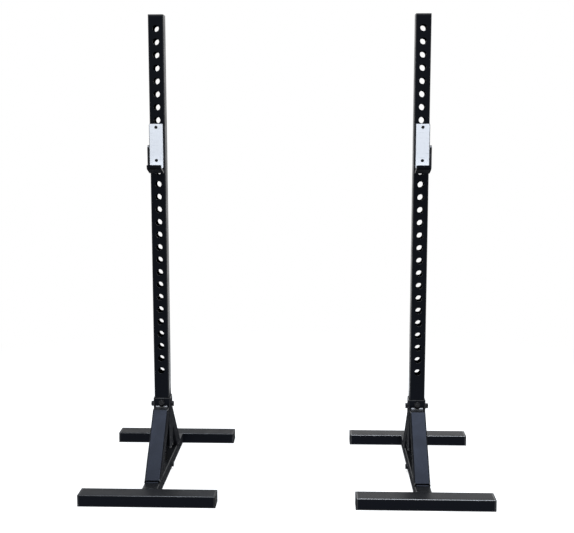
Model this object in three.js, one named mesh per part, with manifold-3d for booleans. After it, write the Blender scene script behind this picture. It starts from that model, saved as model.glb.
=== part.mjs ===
// A pair of squat stands: two tall perforated uprights on welded floor bases, each with a padded J-hook.
// Millimetres, +Z up, +X along a bar laid across the hooks, -Y towards the lifter. The origin is on the
// floor, midway between the two uprights.

import * as THREE from 'three';
import { mergeVertices } from 'three/addons/utils/BufferGeometryUtils.js';
import Module from 'manifold-3d';

const wasm = await Module();
wasm.setup();

// Driving dimensions of the pair
const stand_spacing = 1030;
const touch_gap = 0.3;
const cut_overrun = 5;

// Upright: square tube with a row of through holes down its front and back faces
const upright_size = 60;
const upright_wall = 3;
const upright_corner_radius = 6;
const upright_length = 1716;
const hole_diameter = 25;
const hole_pitch = 50;
const first_hole_drop = 50;
const lowest_hole_clearance = 100;

// Base: two cross tubes on the floor, joined by a spine with its top face level with theirs
const base_height = 45;
const cross_tube_depth = 80;
const cross_tube_length = 505;
const cross_tube_reach = 390;
const spine_width = 60;
const base_wall = 3;
const base_corner_radius = 5;

// Plastic end plugs of the cross tubes and of the uprights
const plug_flange_thickness = 4;
const cap_flange_thickness = 3;
const plug_flange_bevel = 1.2;
const plug_stub_depth = 20;
const plug_stub_wall = 2.5;
const plug_clearance = 0.3;

// Socket: sleeve that holds the upright's lower end, closed below by a plate with a drain hole
const socket_wall = 3.5;
const socket_clearance = 0.5;
const socket_rise = 38;
const socket_base_height = 100;
const socket_plate_thickness = 6;
const socket_drain_diameter = 20;

// Braces: two square tubes that carry the socket above the spine
const brace_size = 60;
const brace_wall = 3;
const brace_corner_radius = 5;
const brace_slope_degrees = 45;
const brace_toe_height = 10;
const brace_top_height = 272;
const brace_end_wall = 3;
const front_brace_top_depth = 40.7;
const rear_brace_top_depth = 6.7;

// Through bolts: one across each way near the socket's top, and one through the spine
const bolt_diameter = 12;
const bolt_head_across_flats = 19;
const bolt_head_height = 7.5;
const bolt_hole_clearance = 0.5;
const bolt_tip_length = 1;
const nut_height = 10;
const washer_diameter = 24;
const washer_thickness = 2.5;
const hex_chamfer = 1.4;
const front_bolt_rise = 20;
const side_bolt_rise = 6;
const spine_bolt_height = 22;

// J-hook: one bent plate, hung from a pin in one of the upright's holes
const hook_hole_number = 9;
const hook_width = 57;
const hook_offset = 2.5;
const hook_plate_thickness = 8;
const hook_bend_radius = 8;
const hook_plate_rise = 37;
const hook_bend_drop = 140;
const hook_lip_height = 3.5;
const hook_lip_reach = 110;
const hook_floor_slope_degrees = 17;
const hook_corner_radius = 7;
const hook_lip_corner_radius = 4;
const pin_diameter = 23;
const pin_clearance = 0.3;
const pin_overhang = 6;
const pin_chamfer_depth = 2;

// Guard: side plate of the hook, beside the upright's outer face
const guard_thickness = 8;
const guard_depth = 46;
const guard_top_drop = 47;
const guard_bottom_drop = 150;
const guard_corner_radius = 12;

// White plastic liner and seat pad of the hook, with their countersunk screws
const liner_width = 51;
const liner_thickness = 8;
const liner_top_rise = 35;
const liner_bottom_drop = 136;
const liner_corner_radius = 3;
const liner_bevel = 0.8;
const upper_screw_rise = 22;
const lower_screw_drop = 106;
const screw_diameter = 6;
const screw_head_diameter = 12;
const screw_head_height = 3;
const screw_rim_height = 0.4;
const screw_length = 14.5;
const screw_recess = 0.4;
const screw_clearance = 0.3;
const screw_socket_across_flats = 4;
const screw_socket_depth = 2;
const pad_width = 51;
const pad_thickness = 5;
const pad_end_clearance = 1;

// Facet counts
const corner_steps = 1;
const bend_steps = 4;
const hole_steps = 12;
const bolt_steps = 12;
const disc_steps = 16;
const hexagon_sides = 6;

// Sizes that follow from the ones above
const upright_half = upright_size / 2;
const socket_inner = upright_size + 2 * socket_clearance;
const socket_size = socket_inner + 2 * socket_wall;
const socket_half = socket_size / 2;
const socket_corner_radius = upright_corner_radius + socket_clearance;
const upright_foot_height = socket_base_height + socket_plate_thickness + touch_gap;
const upright_top_height = upright_foot_height + upright_length;
const socket_top_height = brace_top_height + socket_rise;
const socket_length = socket_top_height - upright_foot_height;
const hole_row_length = upright_top_height - first_hole_drop - socket_top_height - lowest_hole_clearance;
const hole_count = 1 + Math.floor(hole_row_length / hole_pitch);
const front_bolt_height = brace_top_height + front_bolt_rise;
const side_bolt_height = brace_top_height + side_bolt_rise;
const bolt_hole_diameter = bolt_diameter + 2 * bolt_hole_clearance;
const hook_floor_slope = THREE.MathUtils.degToRad(hook_floor_slope_degrees);
const hook_outer_radius = hook_bend_radius + hook_plate_thickness;
const hook_rear_y = -(upright_half + touch_gap);
const hook_front_y = hook_rear_y - hook_plate_thickness;
const pin_height = upright_top_height - first_hole_drop - (hook_hole_number - 1) * hole_pitch;

// Materials
const finish = (color, roughness, metalness) => (
  new THREE.MeshStandardMaterial({ color, roughness, metalness })
);
const black_coat = () => finish(0x16181b, 0.42, 0.0);
const black_plastic = () => finish(0x101112, 0.6, 0.0);
const white_plastic = () => finish(0xe4e6ea, 0.45, 0.0);
const dark_steel = () => finish(0x2a2c2f, 0.4, 0.8);
const plain_steel = () => finish(0x8d9094, 0.35, 0.9);

// Solids
function toSolid(geometry) {
  const bare = geometry.index ? geometry.clone() : geometry;
  bare.deleteAttribute('normal');
  bare.deleteAttribute('uv');
  const welded = mergeVertices(bare);
  const vertProperties = new Float32Array(welded.attributes.position.array);
  const triVerts = new Uint32Array(welded.index.array);
  return new wasm.Manifold(new wasm.Mesh({ numProp: 3, vertProperties, triVerts }));
}

function toGeometry(solid) {
  const { vertProperties, triVerts } = solid.getMesh();
  const geometry = new THREE.BufferGeometry();
  geometry.setAttribute('position', new THREE.BufferAttribute(vertProperties, 3));
  geometry.setIndex(new THREE.BufferAttribute(triVerts, 1));
  return geometry;
}

function join(...geometries) {
  return toGeometry(geometries.map(toSolid).reduce((whole, piece) => whole.add(piece)));
}

function cut(geometry, ...cutters) {
  const whole = cutters.map(toSolid).reduce((rest, cutter) => rest.subtract(cutter), toSolid(geometry));
  return toGeometry(whole);
}

function overlap(first, second) {
  return toGeometry(toSolid(first).intersect(toSolid(second)));
}

const x_axis = new THREE.Vector3(1, 0, 0);
const y_axis = new THREE.Vector3(0, 1, 0);
const z_axis = new THREE.Vector3(0, 0, 1);

// Turns a profile drawn in X and Y, and extruded along Z, so that it is extruded along X, Y or -Y
const profile_in_yz = new THREE.Matrix4().makeBasis(y_axis, z_axis, x_axis);
const profile_in_xz = new THREE.Matrix4().makeBasis(x_axis, z_axis, y_axis.clone().negate());

function roundedRectangle(width, height, radius) {
  const shape = new THREE.Shape();
  const x = width / 2 - radius;
  const y = height / 2 - radius;
  const quarter = Math.PI / 2;
  shape.absarc(x, y, radius, 0, quarter, false);
  shape.absarc(-x, y, radius, quarter, 2 * quarter, false);
  shape.absarc(-x, -y, radius, 2 * quarter, 3 * quarter, false);
  shape.absarc(x, -y, radius, 3 * quarter, 4 * quarter, false);
  shape.closePath();
  return shape;
}

function prism(shape, length, steps = corner_steps) {
  const geometry = new THREE.ExtrudeGeometry(shape, { depth: length, bevelEnabled: false, curveSegments: steps });
  return geometry.translate(0, 0, -length / 2);
}

// A flat slab whose edges are chamfered on both faces, inside its outline
function bevelledSlab(shape, thickness, bevel) {
  const options = {
    depth: thickness - 2 * bevel,
    bevelEnabled: true,
    bevelSegments: 1,
    bevelThickness: bevel,
    bevelSize: bevel,
    bevelOffset: -bevel,
    curveSegments: corner_steps,
  };
  return new THREE.ExtrudeGeometry(shape, options).translate(0, 0, bevel - thickness / 2);
}

function tube(width, height, wall, radius, length) {
  const section = roundedRectangle(width, height, radius);
  section.holes.push(roundedRectangle(width - 2 * wall, height - 2 * wall, radius - wall));
  return prism(section, length);
}

// A cylinder along X, Y or Z, centred on the origin
function rod(diameter, length, axis, steps) {
  const geometry = new THREE.CylinderGeometry(diameter / 2, diameter / 2, length, steps);
  if (axis === 'x') geometry.rotateZ(Math.PI / 2);
  if (axis === 'z') geometry.rotateX(Math.PI / 2);
  return geometry;
}

// A solid of revolution about Z, from [radius, height] pairs
function revolve(profile, steps) {
  const points = profile.map(([radius, height]) => new THREE.Vector2(radius, height));
  return new THREE.LatheGeometry(points, steps).rotateX(Math.PI / 2);
}

// Fasteners, drawn along +Z with the bearing face at height zero
function hexagon(across_flats) {
  const corner_radius = across_flats / 2 / Math.cos(Math.PI / hexagon_sides);
  const corners = [];
  for (let corner = 0; corner < hexagon_sides; corner += 1) {
    const angle = 2 * Math.PI * corner / hexagon_sides;
    corners.push(new THREE.Vector2(corner_radius * Math.cos(angle), corner_radius * Math.sin(angle)));
  }
  return new THREE.Shape(corners);
}

// A bolt head or a nut on its washer
function hexOnWasher(height) {
  const hex = bevelledSlab(hexagon(bolt_head_across_flats), height + hex_chamfer, hex_chamfer);
  const washer = rod(washer_diameter, washer_thickness, 'z', disc_steps);
  return join(
    hex.translate(0, 0, washer_thickness + (height - hex_chamfer) / 2),
    washer.translate(0, 0, washer_thickness / 2),
  );
}

function hexBolt(grip) {
  const length = washer_thickness + grip + washer_thickness + nut_height + bolt_tip_length;
  const shank = rod(bolt_diameter, length, 'z', bolt_steps).translate(0, 0, washer_thickness - length / 2);
  return join(hexOnWasher(bolt_head_height), shank);
}

function hexNut() {
  return cut(hexOnWasher(nut_height), rod(bolt_diameter + 2 * touch_gap, 4 * nut_height, 'z', bolt_steps));
}

// A through bolt across a tube of the given width, with its head on the side that `turn` brings +Z to.
// Head and nut are each one solid with their washer.
function throughBolt(width, turn, height) {
  const face = width / 2 + touch_gap;
  return {
    bolt: hexBolt(2 * face).translate(0, 0, face).applyQuaternion(turn).translate(0, 0, height),
    nut: hexNut().translate(0, 0, face).rotateX(Math.PI).applyQuaternion(turn).translate(0, 0, height),
  };
}

// Floor base
function crossTube() {
  return tube(cross_tube_depth, base_height, base_wall, base_corner_radius, cross_tube_length)
    .applyMatrix4(profile_in_yz);
}

function endPlug(width, height, wall, radius, flange_thickness) {
  const inset = wall + plug_clearance;
  const stub_radius = Math.max(radius - inset, plug_clearance);
  const flange = bevelledSlab(roundedRectangle(width, height, radius), flange_thickness, plug_flange_bevel);
  const stub_section = roundedRectangle(width - 2 * inset, height - 2 * inset, stub_radius);
  const bore_inset = inset + plug_stub_wall;
  stub_section.holes.push(roundedRectangle(width - 2 * bore_inset, height - 2 * bore_inset, stub_radius));
  const stub = prism(stub_section, plug_stub_depth + flange_thickness / 2);
  return join(
    flange.translate(0, 0, touch_gap + flange_thickness / 2),
    stub.translate(0, 0, touch_gap + (flange_thickness / 2 - plug_stub_depth) / 2),
  );
}

function crossTubePlug(end) {
  const plug = endPlug(cross_tube_depth, base_height, base_wall, base_corner_radius, plug_flange_thickness);
  return plug.applyMatrix4(profile_in_yz)
    .rotateZ(end < 0 ? Math.PI : 0)
    .translate(end * cross_tube_length / 2, 0, 0);
}

function spineTube() {
  const length = 2 * cross_tube_reach - cross_tube_depth - 2 * touch_gap;
  const blank = tube(spine_width, base_height, base_wall, base_corner_radius, length)
    .applyMatrix4(profile_in_xz);
  const bolt_hole = rod(bolt_hole_diameter, spine_width + 2 * cut_overrun, 'x', bolt_steps);
  return cut(blank, bolt_hole.translate(0, 0, spine_bolt_height - base_height / 2));
}

// A sloping tube, drawn in front of the socket. It is cut flat on the spine and against the socket, and its
// sharp toe and top are cut square and closed by end walls.
function brace(top_depth) {
  const slope = THREE.MathUtils.degToRad(brace_slope_degrees);
  const low = base_height + touch_gap;
  const rear = -(socket_half + touch_gap);
  const toe_height = base_height + brace_toe_height;
  const reach = top_depth - rear + (brace_top_height - toe_height) / Math.tan(slope);
  const long = 2 * (reach + brace_top_height);
  const lean = (geometry) => geometry
    .translate(0, brace_size / 2, 0)
    .rotateX(slope - Math.PI / 2)
    .translate(0, -reach, toe_height);
  const box = (front, back, bottom, top) => new THREE.BoxGeometry(2 * brace_size, back - front, top - bottom)
    .translate(0, (front + back) / 2, (bottom + top) / 2);
  const outer = lean(prism(roundedRectangle(brace_size, brace_size, brace_corner_radius), long));
  const inner_size = brace_size - 2 * brace_wall;
  const inner_section = roundedRectangle(inner_size, inner_size, brace_corner_radius - brace_wall);
  const inner = lean(prism(inner_section, long));
  const hollow = overlap(inner, box(
    -reach + brace_end_wall,
    rear + cut_overrun,
    low - cut_overrun,
    brace_top_height - brace_end_wall,
  ));
  return cut(overlap(outer, box(-reach, rear, low, brace_top_height)), hollow);
}

// Socket
function boltHoles(width) {
  const length = width + 2 * cut_overrun;
  return [
    rod(bolt_hole_diameter, length, 'y', bolt_steps).translate(0, 0, front_bolt_height),
    rod(bolt_hole_diameter, length, 'x', bolt_steps).translate(0, 0, side_bolt_height),
  ];
}

function socket() {
  const blank = tube(socket_size, socket_size, socket_wall, socket_corner_radius, socket_length);
  return cut(blank.translate(0, 0, upright_foot_height + socket_length / 2), ...boltHoles(socket_size));
}

function socketPlate() {
  const outline = roundedRectangle(socket_size, socket_size, socket_corner_radius);
  const drain = new THREE.Path();
  drain.absarc(0, 0, socket_drain_diameter / 2, 0, 2 * Math.PI, false);
  outline.holes.push(drain);
  return prism(outline, socket_plate_thickness, bend_steps)
    .translate(0, 0, socket_base_height + socket_plate_thickness / 2);
}

// Upright
function upright() {
  const blank = tube(upright_size, upright_size, upright_wall, upright_corner_radius, upright_length);
  const pegboard = [];
  for (let number = 1; number <= hole_count; number += 1) {
    const height = upright_top_height - first_hole_drop - (number - 1) * hole_pitch;
    const drill = rod(hole_diameter, upright_size + 2 * cut_overrun, 'y', hole_steps);
    pegboard.push(drill.translate(0, 0, height));
  }
  return cut(
    blank.translate(0, 0, upright_foot_height + upright_length / 2),
    ...pegboard,
    ...boltHoles(upright_size),
  );
}

// J-hook, drawn about the pin's axis, with the upright's axis along Z
const hook_bend_y = hook_rear_y - hook_outer_radius;
const hook_lip_bend_y = -hook_lip_reach + hook_outer_radius;
const hook_floor_length = (hook_bend_y - hook_lip_bend_y) / Math.cos(hook_floor_slope);
const hook_lip_bend_z = -hook_bend_drop + hook_floor_length * Math.sin(hook_floor_slope);
const hook_lip_top_z = hook_lip_bend_z + hook_lip_height;

// Side outline of the bent plate: back plate, floor that rises towards the lifter, and upright lip
function hookProfile() {
  const down = -Math.PI / 2 - hook_floor_slope;
  const shape = new THREE.Shape();
  shape.moveTo(hook_rear_y, hook_plate_rise);
  shape.absarc(hook_bend_y, -hook_bend_drop, hook_outer_radius, 0, down, true);
  shape.absarc(hook_lip_bend_y, hook_lip_bend_z, hook_outer_radius, down, -Math.PI, true);
  shape.lineTo(-hook_lip_reach, hook_lip_top_z);
  shape.lineTo(-hook_lip_reach + hook_plate_thickness, hook_lip_top_z);
  shape.absarc(hook_lip_bend_y, hook_lip_bend_z, hook_bend_radius, -Math.PI, down, false);
  shape.absarc(hook_bend_y, -hook_bend_drop, hook_bend_radius, down, 0, false);
  shape.lineTo(hook_front_y, hook_plate_rise);
  shape.closePath();
  return shape;
}

// What a rounded top corner takes away, on both sides of a plate that stands across Y
function topCorners(top, front, back, radius) {
  const reach = radius + cut_overrun;
  const centre = hook_width / 2 - radius;
  const depth = back - front + 2 * cut_overrun;
  return [-1, 1].map((side) => {
    const block = new THREE.BoxGeometry(reach, depth, reach)
      .translate(side * (centre + reach / 2), (front + back) / 2, top - radius + reach / 2);
    const round = rod(2 * radius, depth + 2 * cut_overrun, 'y', hole_steps)
      .translate(side * centre, (front + back) / 2, top - radius);
    return cut(block, round);
  });
}

const screw_heights = [upper_screw_rise, -lower_screw_drop];

function hookPlate(outward) {
  const blank = prism(hookProfile(), hook_width, bend_steps).applyMatrix4(profile_in_yz);
  const middle = (hook_rear_y + hook_front_y) / 2;
  const reach = hook_plate_thickness + 2 * cut_overrun;
  const pin_hole = rod(pin_diameter + 2 * pin_clearance, reach, 'y', disc_steps)
    .translate(-outward * hook_offset, middle, 0);
  const screw_holes = screw_heights.map((height) => (
    rod(screw_diameter + 2 * screw_clearance, reach, 'y', bolt_steps).translate(0, middle, height)
  ));
  const lip_back_y = -hook_lip_reach + hook_plate_thickness;
  return cut(
    blank,
    pin_hole,
    ...screw_holes,
    ...topCorners(hook_plate_rise, hook_front_y, hook_rear_y, hook_corner_radius),
    ...topCorners(hook_lip_top_z, -hook_lip_reach, lip_back_y, hook_lip_corner_radius),
  ).translate(outward * hook_offset, 0, 0);
}

// Round pin, flush with the hook plate's front face, through both walls of the upright
function hookPin() {
  const length = upright_half + pin_overhang - hook_front_y;
  const radius = pin_diameter / 2;
  return revolve([
    [0, 0],
    [radius, 0],
    [radius, length - pin_chamfer_depth],
    [radius - pin_chamfer_depth, length],
    [0, length],
  ], disc_steps).rotateX(-Math.PI / 2).translate(0, hook_front_y, 0);
}

// Side plate beside the upright. Its lower edge rises as much towards the front as the hook's floor
// would over the same depth.
function hookGuard(outward) {
  const front = hook_front_y;
  const rear = hook_front_y + guard_depth;
  const radius = guard_corner_radius;
  const chamfer_rise = guard_depth * Math.tan(hook_floor_slope);
  const shape = new THREE.Shape();
  shape.moveTo(front, -guard_bottom_drop + chamfer_rise);
  shape.absarc(rear - radius, -guard_bottom_drop + radius, radius, -Math.PI / 2 - hook_floor_slope, 0, false);
  shape.absarc(rear - radius, -guard_top_drop - radius, radius, 0, Math.PI / 2, false);
  shape.absarc(front + radius, -guard_top_drop - radius, radius, Math.PI / 2, Math.PI, false);
  shape.closePath();
  const offset = hook_offset + hook_width / 2 + touch_gap + guard_thickness / 2;
  return prism(shape, guard_thickness, bend_steps).applyMatrix4(profile_in_yz).translate(outward * offset, 0, 0);
}

// Countersunk screw, drawn along -Z from the top of its head. With a clearance it is the hole for one.
function screwBlank(clearance, top) {
  const head_radius = screw_head_diameter / 2 + clearance;
  const shank_radius = screw_diameter / 2 + clearance;
  return revolve([
    [0, -screw_length - clearance],
    [shank_radius, -screw_length - clearance],
    [shank_radius, -screw_head_height],
    [head_radius, -screw_rim_height],
    [head_radius, top],
    [0, top],
  ], disc_steps);
}

const liner_front_y = hook_front_y - touch_gap - liner_thickness;

function placeScrew(geometry, outward, height) {
  return geometry.rotateX(Math.PI / 2).translate(outward * hook_offset, liner_front_y + screw_recess, height);
}

function hookScrew(outward, height) {
  const recess = prism(hexagon(screw_socket_across_flats), 2 * screw_socket_depth);
  return placeScrew(cut(screwBlank(0, 0), recess), outward, height);
}

function hookLiner(outward) {
  const height = liner_top_rise + liner_bottom_drop;
  const outline = roundedRectangle(liner_width, height, liner_corner_radius);
  const slab = bevelledSlab(outline, liner_thickness, liner_bevel).applyMatrix4(profile_in_xz).translate(
    outward * hook_offset,
    liner_front_y + liner_thickness / 2,
    (liner_top_rise - liner_bottom_drop) / 2,
  );
  const sinks = screw_heights.map((z) => placeScrew(screwBlank(screw_clearance, cut_overrun), outward, z));
  return cut(slab, ...sinks);
}

// Pad on the hook's floor, under the bar
function hookPad(outward) {
  const length = hook_floor_length - 2 * pad_end_clearance;
  const lift = hook_bend_radius - touch_gap - pad_thickness / 2;
  const slab = bevelledSlab(roundedRectangle(pad_width, length, liner_corner_radius), pad_thickness, liner_bevel);
  return slab.translate(0, 0, -lift).rotateX(-hook_floor_slope).translate(
    outward * hook_offset,
    (hook_bend_y + hook_lip_bend_y) / 2,
    (hook_lip_bend_z - hook_bend_drop) / 2,
  );
}

// Assembly
function named(name, geometry, material, y = 0, z = 0) {
  const flat = geometry.index ? geometry.toNonIndexed() : geometry;
  flat.computeVertexNormals();
  const mesh = new THREE.Mesh(flat, material);
  mesh.name = name;
  mesh.position.set(0, y, z);
  return mesh;
}

function base(side, outward) {
  const meshes = [named(`${side}_spine_tube`, spineTube(), black_coat(), 0, base_height / 2)];
  for (const [end, direction] of [['front', -1], ['rear', 1]]) {
    const y = direction * cross_tube_reach;
    const height = base_height / 2;
    meshes.push(named(`${side}_${end}_cross_tube`, crossTube(), black_coat(), y, height));
    meshes.push(named(`${side}_${end}_outer_plug`, crossTubePlug(outward), black_plastic(), y, height));
    meshes.push(named(`${side}_${end}_inner_plug`, crossTubePlug(-outward), black_plastic(), y, height));
  }
  meshes.push(named(`${side}_front_brace`, brace(front_brace_top_depth), black_coat()));
  meshes.push(named(`${side}_rear_brace`, brace(rear_brace_top_depth).rotateZ(Math.PI), black_coat()));
  meshes.push(named(`${side}_socket`, socket(), black_coat()));
  meshes.push(named(`${side}_socket_plate`, socketPlate(), black_coat()));
  return meshes;
}

// The heads face the lifter and the other stand
function fasteners(side, outward) {
  const to_front = new THREE.Quaternion().setFromUnitVectors(z_axis, y_axis.clone().negate());
  const to_inside = new THREE.Quaternion().setFromUnitVectors(z_axis, x_axis.clone().multiplyScalar(-outward));
  const front = throughBolt(socket_size, to_front, front_bolt_height);
  const cross = throughBolt(socket_size, to_inside, side_bolt_height);
  const low = throughBolt(spine_width, to_inside, spine_bolt_height);
  return [
    named(`${side}_socket_front_bolt`, front.bolt, dark_steel()),
    named(`${side}_socket_front_nut`, front.nut, dark_steel()),
    named(`${side}_socket_side_bolt`, cross.bolt, dark_steel()),
    named(`${side}_socket_side_nut`, cross.nut, dark_steel()),
    named(`${side}_spine_bolt`, low.bolt, dark_steel()),
    named(`${side}_spine_nut`, low.nut, dark_steel()),
  ];
}

function post(side) {
  const cap = endPlug(upright_size, upright_size, upright_wall, upright_corner_radius, cap_flange_thickness);
  return [
    named(`${side}_upright`, upright(), black_coat()),
    named(`${side}_upright_cap`, cap, black_plastic(), 0, upright_top_height),
  ];
}

function hook(side, outward) {
  return [
    named(`${side}_hook_plate`, hookPlate(outward), black_coat(), 0, pin_height),
    named(`${side}_hook_pin`, hookPin(), plain_steel(), 0, pin_height),
    named(`${side}_hook_guard`, hookGuard(outward), black_coat(), 0, pin_height),
    named(`${side}_hook_liner`, hookLiner(outward), white_plastic(), 0, pin_height),
    named(`${side}_hook_pad`, hookPad(outward), white_plastic(), 0, pin_height),
    named(`${side}_hook_upper_screw`, hookScrew(outward, upper_screw_rise), dark_steel(), 0, pin_height),
    named(`${side}_hook_lower_screw`, hookScrew(outward, -lower_screw_drop), dark_steel(), 0, pin_height),
  ];
}

const squat_stands = new THREE.Group();
for (const [side, outward] of [['left', -1], ['right', 1]]) {
  const stand = new THREE.Group();
  stand.position.x = outward * stand_spacing / 2;
  stand.add(...base(side, outward), ...fasteners(side, outward), ...post(side), ...hook(side, outward));
  squat_stands.add(stand);
}

export default squat_stands;
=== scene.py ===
# %% [markdown]
# # A pair of squat stands
# Each stand is a tall square post full of holes, bolted into a sleeve on an I-shaped floor base, with a
# J-hook hanging from a pin in one of the holes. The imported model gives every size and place, so this
# lesson starts by loading it and then swaps its plain solids for finer ones of the same size.

# %% Load the frame
import math

import bmesh
import bpy
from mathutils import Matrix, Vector


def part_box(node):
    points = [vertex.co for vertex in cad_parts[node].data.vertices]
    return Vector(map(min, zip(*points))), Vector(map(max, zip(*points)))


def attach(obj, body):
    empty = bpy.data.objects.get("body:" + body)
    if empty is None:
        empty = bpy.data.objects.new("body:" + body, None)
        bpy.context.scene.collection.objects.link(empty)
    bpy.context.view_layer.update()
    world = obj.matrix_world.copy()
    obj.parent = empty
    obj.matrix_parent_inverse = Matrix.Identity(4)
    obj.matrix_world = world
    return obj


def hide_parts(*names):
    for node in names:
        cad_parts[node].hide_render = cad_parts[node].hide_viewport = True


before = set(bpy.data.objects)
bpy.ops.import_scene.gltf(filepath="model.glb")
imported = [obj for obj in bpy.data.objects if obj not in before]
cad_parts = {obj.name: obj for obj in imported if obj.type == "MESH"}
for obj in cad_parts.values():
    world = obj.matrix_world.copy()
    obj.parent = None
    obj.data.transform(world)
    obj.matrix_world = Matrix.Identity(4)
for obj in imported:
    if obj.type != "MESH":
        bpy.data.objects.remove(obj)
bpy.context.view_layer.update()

# %% [markdown]
# ## Sizes
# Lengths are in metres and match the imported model. The right-hand stand is modelled, and each finished
# piece is then mirrored in the plane X = 0 for the left-hand one, because the two are mirror images.
# TOUCH is the gap that neighbouring pieces keep, and the three after it say how near counts as equal.

# %% Sizes shared by several pieces
MM = 0.001
STAND_X = 515 * MM
TOUCH = 0.3 * MM
NEAR = 0.1 * MM
MERGE_DISTANCE = 0.01 * MM
SAME_POINT = 0.002 * MM

TUBE_CORNER = 5 * MM
TUBE_WALL = 3 * MM
CORNER_SEGMENTS = 6
WIDE_SEGMENTS = 10
SOFT_SEGMENTS = 3
HOLE_RADIUS = 12.5 * MM
HOLE_PITCH = 50 * MM
HOLE_SIDES = 48
DISC_SIDES = 48
SMOOTH_ANGLE = math.radians(35)
SHARP_ANGLE = math.radians(40)
PARALLEL = 0.999

X, Y, Z = Vector((1, 0, 0)), Vector((0, 1, 0)), Vector((0, 0, 1))


def node_box(name):
    """The lowest and highest corner of one of the right-hand stand's nodes."""
    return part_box("right_" + name)


def node_middle(name):
    """The middle of one of those boxes."""
    low, high = node_box(name)
    return (low + high) / 2


for name in ("upright", "spine_tube", "front_cross_tube", "hook_plate"):
    low, high = node_box(name)
    print(name, [round(v / MM, 1) for v in high - low], "mm")

# %% [markdown]
# ## The camera
# The photograph was taken from a little above the middle of the posts and slightly to the right, almost
# four metres away. The focal length in pixels and the image width give the lens.

# %% Camera
PHOTO_WIDTH = 574
FOCAL_PIXELS = 1002.15
SENSOR_WIDTH = 36.0
CAMERA_PLACE = Vector((0.126, -3.962, 1.377))
CAMERA_YAW = math.radians(1.948)
CAMERA_PITCH = math.radians(7.653)
QUARTER_TURN = math.radians(90)

bpy.ops.object.select_all(action="DESELECT")
bpy.ops.object.camera_add(location=CAMERA_PLACE, rotation=(QUARTER_TURN - CAMERA_PITCH, 0, CAMERA_YAW))
camera = bpy.context.active_object
camera.name = "photo_camera"
camera.data.sensor_width = SENSOR_WIDTH
camera.data.lens = SENSOR_WIDTH * FOCAL_PIXELS / PHOTO_WIDTH
bpy.context.scene.camera = camera
print("lens", round(camera.data.lens, 2), "mm")

# %% [markdown]
# ## The studio
# A wide pale floor and one large soft lamp overhead. The photograph has a plain white background, so the
# world is white wherever it is looked at, straight or in a reflection. Black paint gets its shape from
# that: seen face on it stays dark, and at a grazing angle it turns pale. The sloping struts mirror the
# lamp, which is why they look grey next to the nearly black posts; their blue cast is partly the lamp's
# colour and partly a painted blue tint on the coat's reflections.


# %% Helpers for nodes
def feed(tree, socket, value):
    """Gives an input a plain value, or links it to another node's output."""
    if isinstance(value, bpy.types.NodeSocket):
        tree.links.new(value, socket)
    else:
        socket.default_value = value


def set_inputs(tree, node, **inputs):
    """Feeds a node's inputs by name."""
    for name, value in inputs.items():
        feed(tree, node.inputs[name.replace("_", " ")], value)


def add_node(tree, kind, **inputs):
    """The outputs of a new shader node, some of whose inputs are fed by name."""
    node = tree.nodes.new(kind)
    set_inputs(tree, node, **inputs)
    return node.outputs


def fed_in_order(tree, node, values):
    """The outputs of a node whose inputs are fed from the first on."""
    for socket, value in zip(node.inputs, values):
        feed(tree, socket, value)
    return node.outputs


def math_node(tree, operation, *values, clamp=False):
    """The result of a Math node."""
    node = tree.nodes.new("ShaderNodeMath")
    node.operation = operation
    node.use_clamp = clamp
    return fed_in_order(tree, node, values)[0]


def vector_math(tree, operation, *vectors):
    """The outputs of a Vector Math node."""
    node = tree.nodes.new("ShaderNodeVectorMath")
    node.operation = operation
    return fed_in_order(tree, node, vectors)


def join_shaders(tree, kind, *values):
    """The shader that a Mix Shader or Add Shader node gives."""
    return fed_in_order(tree, tree.nodes.new(kind), values)[0]


def coordinates(tree, kind="Object"):
    """One of the Texture Coordinate node's vectors."""
    return add_node(tree, "ShaderNodeTexCoord")[kind]


def parts_of(tree, vector):
    """The X, Y and Z of a vector."""
    return add_node(tree, "ShaderNodeSeparateXYZ", Vector=vector)


def ramp(tree, value, start, end, low=0.0, high=1.0):
    """Maps a value between start and end smoothly to low and high."""
    node = tree.nodes.new("ShaderNodeMapRange")
    node.interpolation_type = "SMOOTHSTEP"
    set_inputs(tree, node, Value=value, From_Min=start, From_Max=end, To_Min=low, To_Max=high)
    return node.outputs["Result"]


def mix_colours(tree, factor, first, second):
    """Mixes two colours, each a socket or four numbers."""
    node = tree.nodes.new("ShaderNodeMix")
    node.data_type = "RGBA"
    for name, value in (("Factor", factor), ("A", first), ("B", second)):
        feed(tree, next(s for s in node.inputs if s.name == name and s.enabled), value)
    return next(s for s in node.outputs if s.enabled)


def seen_directly(tree):
    """One for a ray from the camera or by way of a reflection or glass, and zero for any other."""
    rays = add_node(tree, "ShaderNodeLightPath")
    mirrored_rays = math_node(tree, "MAXIMUM", rays["Is Glossy Ray"], rays["Is Transmission Ray"])
    return math_node(tree, "MAXIMUM", rays["Is Camera Ray"], mirrored_rays)


print("node helpers ready")

# %% World: white to look at, brighter light from above than from the front
OVERHEAD_LIGHT = 0.7
BEHIND_LIGHT = 0.6
FRONT_LIGHT = 0.12
FRONT_TO_BACK = (-0.45, 0.55)
OVERHEAD_RISE = (0.35, 0.9)
COOL_WHITE = (0.96, 0.98, 1.0, 1)
WHITE = (1, 1, 1, 1)

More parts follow.
